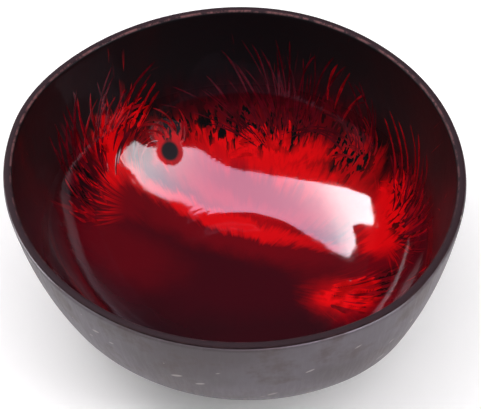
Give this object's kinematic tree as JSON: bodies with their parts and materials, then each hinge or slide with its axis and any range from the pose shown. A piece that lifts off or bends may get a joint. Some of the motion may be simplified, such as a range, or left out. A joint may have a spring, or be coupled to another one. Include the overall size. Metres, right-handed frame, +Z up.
{
  "type": "coconut shell bowl",
  "caption": "Deep half coconut shell bowl with a flat ground foot, three filled eyes and a glossy black and red lacquered inside.",
  "frame": {"origin": "middle of the ground foot, on the surface the bowl stands on", "axes": "+Z up through the open rim; -Y towards the front of the bowl as pictured, +X to its right"},
  "size_m": [0.1439, 0.1449, 0.063],
  "materials": {
    "shell": "sanded and polished coconut shell, dark grey-brown with fine pale fibre marks, satin",
    "eye_filler": "putty of shell dust and lacquer, matt",
    "black_lacquer": "black ground lacquer, rubbed smooth",
    "red_lacquer": "translucent bright red lacquer strokes over black",
    "clear_lacquer": "clear high gloss lacquer"
  },
  "bodies": {
    "root": {"coconut_shell": "shell", "soft_eye_plug": "eye_filler", "blind_eye_plugs": "eye_filler", "black_lacquer": "black_lacquer", "red_lacquer": "red_lacquer", "clear_topcoat": "clear_lacquer"}
  },
  "joints": []
}
